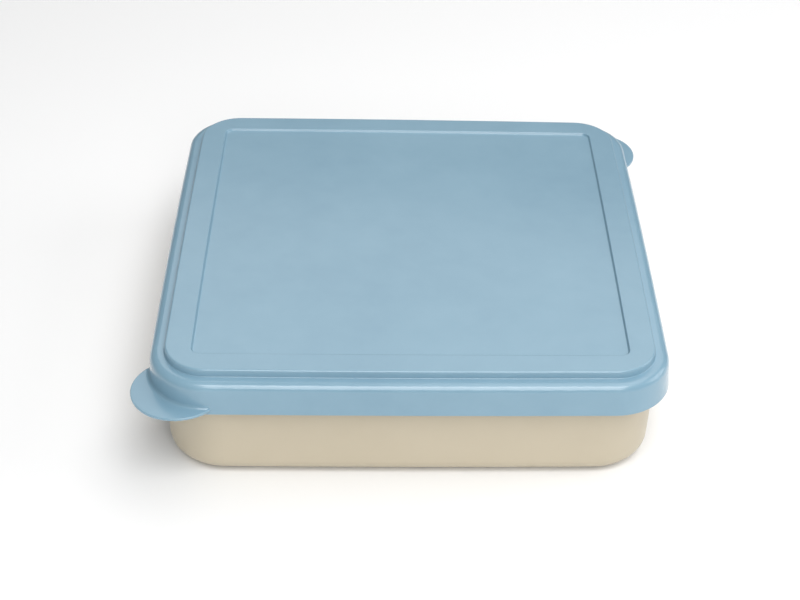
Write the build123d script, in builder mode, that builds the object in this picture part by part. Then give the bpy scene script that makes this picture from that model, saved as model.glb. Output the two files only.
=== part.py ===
from build123d import *
import math
import os

# Square meal tray with a press-on lid.
# Frame: origin on the resting plane under the centre of the tray, +Z up,
# +X to the right and +Y to the back as the closed tray is looked at from the front.
# The lid's two lift tabs are on the front-left and back-right corners.

# ---------------------------------------------------------------- driving dimensions (mm)
# lid, outside
LID_HALF = 100.0          # half width at the foot of the shoulder rounding
LID_R = 22.5              # plan corner radius there
SIDE_BOW = 0.45           # each side bows out this much at its middle
LID_TOP = 51.0            # top of the raised panel
LEDGE_Z = 47.9            # narrow ledge around the raised panel
SHOULDER_R = 3.0          # rounding from the ledge into the skirt
SKIRT_BOTTOM = 35.1
SKIRT_FLARE = 1.1         # the skirt is this much wider at its lower edge
SKIRT_R = 23.4            # plan corner radius there
PANEL_HALF = 94.6         # raised panel, at its foot
PANEL_TAPER = 5.0         # degrees
PANEL_EDGE = 0.7
STEP_FILLET = 0.35        # where the raised panel meets the ledge
RECESS_HALF = 84.0        # shallow sunk field in the raised panel, at its upper edge
RECESS_R = 3.6
RECESS_BOW = 0.3
RECESS_DEPTH = 1.0
RECESS_TAPER = 28.0       # degrees
# lid, inside
ROOF_T = 1.5              # roof thickness
CHANNEL_HALF = 99.5       # inner face of the skirt at its lower edge
CHANNEL_R = 23.1
CHANNEL_IN = 0.6          # it closes in this much up to the channel's top
CHANNEL_TOP = 46.3        # the lid rests on the tray's rim here
CHANNEL_FILLET = 1.2
BEAD_HALF = 98.5          # crest of the snap bead inside the skirt
BEAD_R = 23.5
BEAD_Z = 40.9
BEAD_H = 0.9              # half its height
PLUG_OUT = 93.8           # plug rib that dips inside the tray's rim
PLUG_R = 22.0
PLUG_T = 1.3
PLUG_BOTTOM = 43.7
# lift tabs
TAB_R = 18.0
TAB_CENTRE = 88.4         # on the diagonal, the same in X and Y
TAB_RISE = 1.3            # above the skirt's lower edge
TAB_T = 1.2
TAB_EDGE = 0.4
TAB_ROOT = 1.2            # rounding between a tab's top and the skirt
# tray
RIM_Z = CHANNEL_TOP
RIM_T = 2.6
RIM_HALF = 98.15
TRAY_R = 23.0             # plan corner radius at the resting plane
TRAY_TAPER = 1.6          # draft of the walls, degrees
TRAY_HALF_0 = 95.45       # outer wall carried down to the resting plane
TRAY_FILLET = 7.0
WALL_T = 2.0
FOOT_H = 0.6              # the foot ring drops into the sunk field of a lid below it
FOOT_OUT = 82.4
FOOT_IN = 79.6
FOOT_R = 7.0
FLOOR_Z = 2.8
# compartments
DIVIDER_TOP = 42.5
DIVIDER_T = 2.8           # thickness at its top
DIVIDER_EDGE = 0.6
CROSS_Y = -4.0            # the cross wall: one wide compartment in front, two behind it
POCKET_STEP = 0.7         # narrow ledge around the wall, level with the divider tops
POCKET_R = 10.0
POCKET_FILLET = 6.0
LIP_EDGE = 0.8


def slope(angle):
    return math.tan(math.radians(angle))


def corner(half):
    """Plan corner radius of an outline that is concentric with the lid's."""
    return LID_R - (LID_HALF - half)


def outline(half, radius, bow):
    """Eight arcs: a square with rounded corners whose sides bow out. half is taken at mid-side."""
    c = half - radius
    side_r = (c * c + bow * bow) / (2 * bow)
    b = 2 * (side_r - half)
    k = (-b + math.sqrt(b * b - 8 * ((side_r - half) ** 2 - (side_r - radius) ** 2))) / 4
    th = math.atan2(k, k + side_r - half)
    end_x, end_y = side_r * math.sin(th), side_r - half - side_r * math.cos(th)
    mid = radius * math.sin(math.pi / 4)
    for turn in range(4):
        pts = [(-end_x, end_y), (0, -half), (end_x, end_y), (k + mid, -k - mid), (-end_y, -end_x)]
        p = [Vector(x, y, 0).rotate(Axis.Z, 90 * turn) for x, y in pts]
        ThreePointArc(p[0], p[1], p[2])
        ThreePointArc(p[2], p[3], p[4])


def field(z, half, radius, bow=SIDE_BOW):
    with BuildSketch(Plane.XY.offset(z)) as sk:
        with BuildLine():
            outline(half, radius, bow)
        make_face()
    return sk.sketch


def skirt_at(z, out=0.0):
    """Half width and corner radius of the skirt's outside at height z, moved out by out."""
    up = (z - SKIRT_BOTTOM) / (LEDGE_Z - SKIRT_BOTTOM)
    half = LID_HALF + SKIRT_FLARE + (-0.15 - SKIRT_FLARE) * up
    return half + out, SKIRT_R + (LID_R - 0.15 - SKIRT_R) * up + out


def level(part, z):
    """The flat horizontal faces at height z."""
    return part.faces().filter_by(Plane.XY).filter_by(lambda f: abs(f.center().Z - z) < 0.01)


# ---------------------------------------------------------------- lid
# snap bead: a low ridge around the inside of the skirt
with BuildPart() as bead:
    extrude(field(BEAD_Z - BEAD_H, LID_HALF - 0.4, BEAD_R + 0.5), amount=2 * BEAD_H)
    crest = field(BEAD_Z, BEAD_HALF, BEAD_R)
    extrude(crest, amount=BEAD_H, taper=-30, mode=Mode.SUBTRACT)
    extrude(crest, amount=-BEAD_H, taper=-30, mode=Mode.SUBTRACT)

# lift tabs: two discs just above the skirt's lower edge, thickened along a hollow curve where they meet the skirt
tab_top = SKIRT_BOTTOM + TAB_RISE + TAB_T
with BuildPart() as tabs:
    root = [field(tab_top - 0.3, *skirt_at(tab_top, TAB_ROOT))]
    for up in (0.0, 0.1, 0.35, 1.0):
        out = TAB_ROOT * (1 - math.sqrt(1 - (1 - up) ** 2))
        root.append(field(tab_top + up * TAB_ROOT, *skirt_at(tab_top + up * TAB_ROOT, out)))
    loft(root, ruled=True)
    with BuildSketch(Plane.XY.offset(tab_top - 0.5)):
        with Locations((-TAB_CENTRE, -TAB_CENTRE), (TAB_CENTRE, TAB_CENTRE)):
            Circle(TAB_R - TAB_EDGE - 0.15)
    extrude(amount=TAB_ROOT + 1, mode=Mode.INTERSECT)
    with BuildSketch(Plane.XY.offset(SKIRT_BOTTOM + TAB_RISE)):
        with Locations((-TAB_CENTRE, -TAB_CENTRE), (TAB_CENTRE, TAB_CENTRE)):
            Circle(TAB_R)
    extrude(amount=TAB_T)
    fillet(tabs.edges().filter_by(GeomType.CIRCLE).filter_by(lambda e: abs(e.radius - TAB_R) < 0.01), TAB_EDGE)

with BuildPart() as lid:
    # skirt and shoulder, solid at first
    loft([field(SKIRT_BOTTOM, *skirt_at(SKIRT_BOTTOM)), field(LEDGE_Z, *skirt_at(LEDGE_Z))], ruled=True)
    fillet(lid.faces().sort_by(Axis.Z)[-1].edges(), SHOULDER_R)
    # raised panel
    extrude(field(LEDGE_Z - 0.5, PANEL_HALF, corner(PANEL_HALF)), amount=LID_TOP - LEDGE_Z + 0.5, taper=PANEL_TAPER)
    fillet(lid.faces().sort_by(Axis.Z)[-1].edges(), PANEL_EDGE)
    fillet(level(lid, LEDGE_Z)[0].inner_wires()[0].edges(), STEP_FILLET)
    # shallow sunk field in its top
    extrude(field(LID_TOP, RECESS_HALF, RECESS_R, RECESS_BOW), amount=-RECESS_DEPTH, taper=RECESS_TAPER,
            mode=Mode.SUBTRACT)
    fillet(level(lid, LID_TOP - RECESS_DEPTH).edges(), 0.4)
    fillet(level(lid, LID_TOP)[0].inner_wires()[0].edges(), 0.35)
    add(tabs.part)
    # inside: skirt channel, plug rib, hollow under the panel
    loft([field(SKIRT_BOTTOM, CHANNEL_HALF, CHANNEL_R), field(CHANNEL_TOP, CHANNEL_HALF - CHANNEL_IN, CHANNEL_R - 0.8)],
         ruled=True, mode=Mode.SUBTRACT)
    fillet(level(lid, CHANNEL_TOP)[0].outer_wire().edges(), CHANNEL_FILLET)
    extrude(field(CHANNEL_TOP, PLUG_OUT, PLUG_R), amount=PLUG_BOTTOM - CHANNEL_TOP, taper=3.0)
    fillet(level(lid, PLUG_BOTTOM).edges(), 0.4)
    extrude(field(PLUG_BOTTOM, PLUG_OUT - PLUG_T, PLUG_R - PLUG_T), amount=LID_TOP - ROOF_T - PLUG_BOTTOM,
            taper=1.0, mode=Mode.SUBTRACT)
    extrude(field(LID_TOP - ROOF_T, RECESS_HALF + 1.2, RECESS_R + 1.2, RECESS_BOW), amount=-RECESS_DEPTH, taper=30)
    add(bead.part)
lid.part.label = "lid"
lid.part.color = Color(0.55, 0.69, 0.77)

# ---------------------------------------------------------------- tray
tray_h = RIM_Z - FOOT_H
base = TRAY_HALF_0 + FOOT_H * slope(TRAY_TAPER)
mouth = TRAY_HALF_0 + RIM_Z * slope(TRAY_TAPER) - WALL_T
mouth_r = TRAY_R + RIM_Z * slope(TRAY_TAPER) - WALL_T
shelf = mouth - (RIM_Z - DIVIDER_TOP) * slope(TRAY_TAPER)
shelf_r = mouth_r - (RIM_Z - DIVIDER_TOP) * slope(TRAY_TAPER)
with BuildPart() as tray:
    # bowl, solid at first, with its rolled bottom edge
    extrude(field(FOOT_H, base, TRAY_R), amount=tray_h, taper=-TRAY_TAPER)
    fillet(tray.faces().sort_by(Axis.Z)[0].edges(), TRAY_FILLET)
    # flange around the rim, which the lid's skirt closes over
    extrude(field(RIM_Z - RIM_T, RIM_HALF, TRAY_R + 0.9), amount=RIM_T)
    fillet(tray.faces().sort_by(Axis.Z)[-1].edges(), LIP_EDGE)
    # foot ring
    extrude(field(0, FOOT_OUT, FOOT_R, RECESS_BOW) - field(0, FOOT_IN, FOOT_R - 2.4, RECESS_BOW), amount=FOOT_H)
    # open space over the dividers
    extrude(field(RIM_Z, mouth, mouth_r), amount=DIVIDER_TOP - RIM_Z, taper=TRAY_TAPER, mode=Mode.SUBTRACT)
    # three compartments
    for x0, x1, y0, y1 in (
        (-120, 120, -120, CROSS_Y - DIVIDER_T / 2),
        (-120, -DIVIDER_T / 2, CROSS_Y + DIVIDER_T / 2, 120),
        (DIVIDER_T / 2, 120, CROSS_Y + DIVIDER_T / 2, 120),
    ):
        with BuildSketch(Plane.XY.offset(DIVIDER_TOP)) as pocket:
            add(field(0, shelf - POCKET_STEP, shelf_r - POCKET_STEP))
            with Locations(((x0 + x1) / 2, (y0 + y1) / 2)):
                Rectangle(x1 - x0, y1 - y0, mode=Mode.INTERSECT)
            inner = pocket.vertices().filter_by(
                lambda v: min(abs(v.X - x0), abs(v.X - x1), abs(v.Y - y0), abs(v.Y - y1)) < 0.01
            )
            fillet(inner, POCKET_R)
        extrude(pocket.sketch, amount=FLOOR_Z - DIVIDER_TOP, taper=TRAY_TAPER, mode=Mode.SUBTRACT)
    fillet(level(tray, FLOOR_Z).edges(), POCKET_FILLET)
    for f in level(tray, DIVIDER_TOP):
        print("divider top", round(f.area, 1), len(f.edges()), len(f.inner_wires()))
    fillet(level(tray, DIVIDER_TOP)[0].inner_wires().edges(), DIVIDER_EDGE)
tray.part.label = "tray"
tray.part.color = Color(0.82, 0.78, 0.69)

# ---------------------------------------------------------------- write
os.makedirs("parts", exist_ok=True)
for piece in (tray.part, lid.part):
    export_step(piece, "parts/" + piece.label + ".step")
    b = piece.bounding_box()
    print(piece.label, "valid", piece.is_valid, "solids", len(piece.solids()), "cm3", round(piece.volume / 1000, 2),
          "x", round(b.min.X, 2), round(b.max.X, 2), "z", round(b.min.Z, 2), round(b.max.Z, 2))
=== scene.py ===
import math

import bpy
from mathutils import Matrix, Vector

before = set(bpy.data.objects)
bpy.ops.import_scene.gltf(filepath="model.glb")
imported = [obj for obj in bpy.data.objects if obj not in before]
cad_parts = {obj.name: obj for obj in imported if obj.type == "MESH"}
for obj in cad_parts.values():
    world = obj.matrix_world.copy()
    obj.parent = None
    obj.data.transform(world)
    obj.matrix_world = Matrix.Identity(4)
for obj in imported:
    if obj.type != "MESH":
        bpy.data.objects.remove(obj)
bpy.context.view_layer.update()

scene = bpy.context.scene
scene.view_settings.view_transform = "Standard"
scene.view_settings.look = "None"


# ---------------------------------------------------------------- helpers
def lin(r, g, b):
    """An sRGB colour, 0 to 255, as linear values."""
    out = []
    for c in (r, g, b):
        c = c / 255
        out.append(c / 12.92 if c <= 0.04045 else ((c + 0.055) / 1.055) ** 2.4)
    return (*out, 1.0)


class Nodes:
    """A short way to build a node tree."""

    def __init__(self, name):
        self.mat = bpy.data.materials.new(name)
        self.mat.use_nodes = True
        self.tree = self.mat.node_tree
        self.tree.nodes.clear()
        self.out = self.new("ShaderNodeOutputMaterial")
        self.shader = self.new("ShaderNodeBsdfPrincipled")
        self.link(self.shader.outputs["BSDF"], self.out.inputs["Surface"])
        self.place = self.new("ShaderNodeTexCoord").outputs["Object"]

    def new(self, kind, **values):
        n = self.tree.nodes.new(kind)
        for k, v in values.items():
            setattr(n, k, v)
        return n

    def link(self, a, b):
        self.tree.links.new(a, b)

    def noise(self, scale, detail=2.0, rough=0.5, stretch=(1, 1, 1)):
        m = self.new("ShaderNodeMapping")
        m.inputs["Scale"].default_value = stretch
        self.link(self.place, m.inputs["Vector"])
        n = self.new("ShaderNodeTexNoise")
        n.inputs["Scale"].default_value = scale
        n.inputs["Detail"].default_value = detail
        n.inputs["Roughness"].default_value = rough
        self.link(m.outputs["Vector"], n.inputs["Vector"])
        return n.outputs["Fac"]

    def spread(self, value, low, high, to_low, to_high):
        m = self.new("ShaderNodeMapRange")
        for k, v in (("From Min", low), ("From Max", high), ("To Min", to_low), ("To Max", to_high)):
            m.inputs[k].default_value = v
        self.link(value, m.inputs["Value"])
        return m.outputs["Result"]

    def math(self, op, a, b):
        m = self.new("ShaderNodeMath", operation=op)
        for s, x in zip(m.inputs, (a, b)):
            if isinstance(x, (int, float)):
                s.default_value = x
            else:
                self.link(x, s)
        return m.outputs[0]

    def mix(self, fac, a, b, blend="MIX"):
        m = self.new("ShaderNodeMix", data_type="RGBA", blend_type=blend)
        for s, x in ((m.inputs[0], fac), (m.inputs[6], a), (m.inputs[7], b)):
            if isinstance(x, (int, float, tuple)):
                s.default_value = x
            else:
                self.link(x, s)
        return m.outputs[2]

    def bump(self, height, distance, strength=1.0, normal=None):
        b = self.new("ShaderNodeBump")
        b.inputs["Strength"].default_value = strength
        b.inputs["Distance"].default_value = distance
        self.link(height, b.inputs["Height"])
        if normal:
            self.link(normal, b.inputs["Normal"])
        return b.outputs["Normal"]


# ---------------------------------------------------------------- materials
def moulded(name, base, pale, deep, rough, cloud, grain, coat, coat_rough):
    """Satin moulded plastic: cloudy colour, a slightly uneven gloss, fine spark grain and a slow unevenness."""
    n = Nodes(name)
    slow = n.noise(cloud, 3.0, 0.55)
    fine = n.noise(cloud * 5.5, 4.0, 0.6)
    both = n.math("ADD", n.math("MULTIPLY", slow, 0.7), n.math("MULTIPLY", fine, 0.3))
    tone = n.spread(both, 0.2, 0.8, 0.0, 1.0)
    colour = n.mix(tone, deep, pale)
    colour = n.mix(0.3, colour, base)
    n.link(colour, n.shader.inputs["Base Color"])
    gloss = n.noise(cloud * 2.1, 3.0, 0.6)
    n.link(n.spread(gloss, 0.15, 0.85, rough - 0.06, rough + 0.07), n.shader.inputs["Roughness"])
    texture = n.noise(grain, 2.0, 0.5)
    wave = n.noise(cloud * 1.3, 1.0, 0.4)
    normal = n.bump(wave, 0.0006, 0.2)
    normal = n.bump(texture, 0.00002, 0.15, normal)
    n.link(normal, n.shader.inputs["Normal"])
    n.shader.inputs["IOR"].default_value = 1.5
    n.shader.inputs["Coat Weight"].default_value = coat
    n.shader.inputs["Coat Roughness"].default_value = coat_rough
    return n.mat


lid_mat = moulded("lid_plastic_soft", lin(125, 161, 181), lin(137, 172, 190), lin(113, 150, 171), 0.36, 15.0, 420.0, 0.8, 0.15)
tray_mat = moulded("tray_plastic_firm", lin(199, 188, 165), lin(206, 195, 173), lin(192, 181, 158), 0.42, 12.0, 480.0, 0.12, 0.25)

for node, mat in (("lid", lid_mat), ("tray", tray_mat)):
    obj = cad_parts[node]
    obj.data.materials.clear()
    obj.data.materials.append(mat)

# ---------------------------------------------------------------- floor
floor_mesh = bpy.data.meshes.new("floor")
h = 6.0
floor_mesh.from_pydata([(-h, -h, 0), (h, -h, 0), (h, h, 0), (-h, h, 0)], [], [(0, 1, 2, 3)])
floor = bpy.data.objects.new("floor", floor_mesh)
scene.collection.objects.link(floor)
floor_nodes = Nodes("pale_floor")
floor_nodes.shader.inputs["Base Color"].default_value = (0.95, 0.95, 0.95, 1)
floor_nodes.shader.inputs["Roughness"].default_value = 0.9
floor_nodes.shader.inputs["Specular IOR Level"].default_value = 0.1
floor_mesh.materials.append(floor_nodes.mat)


# ---------------------------------------------------------------- light
def softbox(name, at, aim, width, height, watts, tint=(1, 1, 1)):
    lamp = bpy.data.lights.new(name, "AREA")
    lamp.shape = "RECTANGLE"
    lamp.size, lamp.size_y = width, height
    lamp.energy = watts
    lamp.color = tint
    o = bpy.data.objects.new(name, lamp)
    o.location = at
    o.rotation_euler = (Vector(aim) - Vector(at)).to_track_quat("-Z", "Y").to_euler()
    scene.collection.objects.link(o)
    return o


LIGHTS = [
    ("overhead", (0.35, 0.05, 1.25), (0, 0, 0), 1.0, 0.8, 4.0),
    ("back_high", (0.15, 1.00, 1.15), (0, 0, 0), 1.4, 0.8, 4.5),
    ("front_top", (0.08, -0.62, 1.30), (0, 0, 0.03), 1.0, 0.45, 8.0),
    ("front", (0.12, -1.20, 1.00), (0, 0, 0.03), 0.9, 0.9, 10.0),
    ("right", (1.40, 0.10, 0.70), (0, 0, 0), 1.0, 0.9, 6.0),
]
WORLD = 0.16

for name, at, aim, width, height, watts in LIGHTS:
    if watts > 0:
        softbox(name, at, aim, width, height, watts)

world = bpy.data.worlds.new("studio")
scene.world = world
world.use_nodes = True
bg = world.node_tree.nodes["Background"] if "Background" in world.node_tree.nodes else world.node_tree.nodes.new("ShaderNodeBackground")
bg.inputs["Color"].default_value = (1.0, 1.0, 1.0, 1)
bg.inputs["Strength"].default_value = WORLD

# ---------------------------------------------------------------- camera
CAM = {"at": (-0.01078, -0.57161, 0.43315), "yaw": 4.185, "pitch": 36.094, "roll": 2.895, "f_px": 1630.7, "shift_px": (80.5, 0.5)}


def aim_camera(c):
    y, p, r = (math.radians(c[k]) for k in ("yaw", "pitch", "roll"))
    fwd = Vector((math.sin(y) * math.cos(p), math.cos(y) * math.cos(p), -math.sin(p)))
    rgt = Vector((math.cos(y), -math.sin(y), 0))
    up = rgt.cross(fwd)
    x = math.cos(r) * rgt + math.sin(r) * up
    u = -math.sin(r) * rgt + math.cos(r) * up
    data = bpy.data.cameras.new("camera")
    cam = bpy.data.objects.new("camera", data)
    scene.collection.objects.link(cam)
    cam.matrix_world = Matrix(((x[0], u[0], -fwd[0], c["at"][0]), (x[1], u[1], -fwd[1], c["at"][1]),
                               (x[2], u[2], -fwd[2], c["at"][2]), (0, 0, 0, 1)))
    data.sensor_fit = "HORIZONTAL"
    data.sensor_width = 36.0
    data.lens = c["f_px"] / 800 * 36.0
    data.shift_x, data.shift_y = -c["shift_px"][0] / 800, c["shift_px"][1] / 800
    data.clip_start, data.clip_end = 0.01, 50
    scene.camera = cam


aim_camera(CAM)
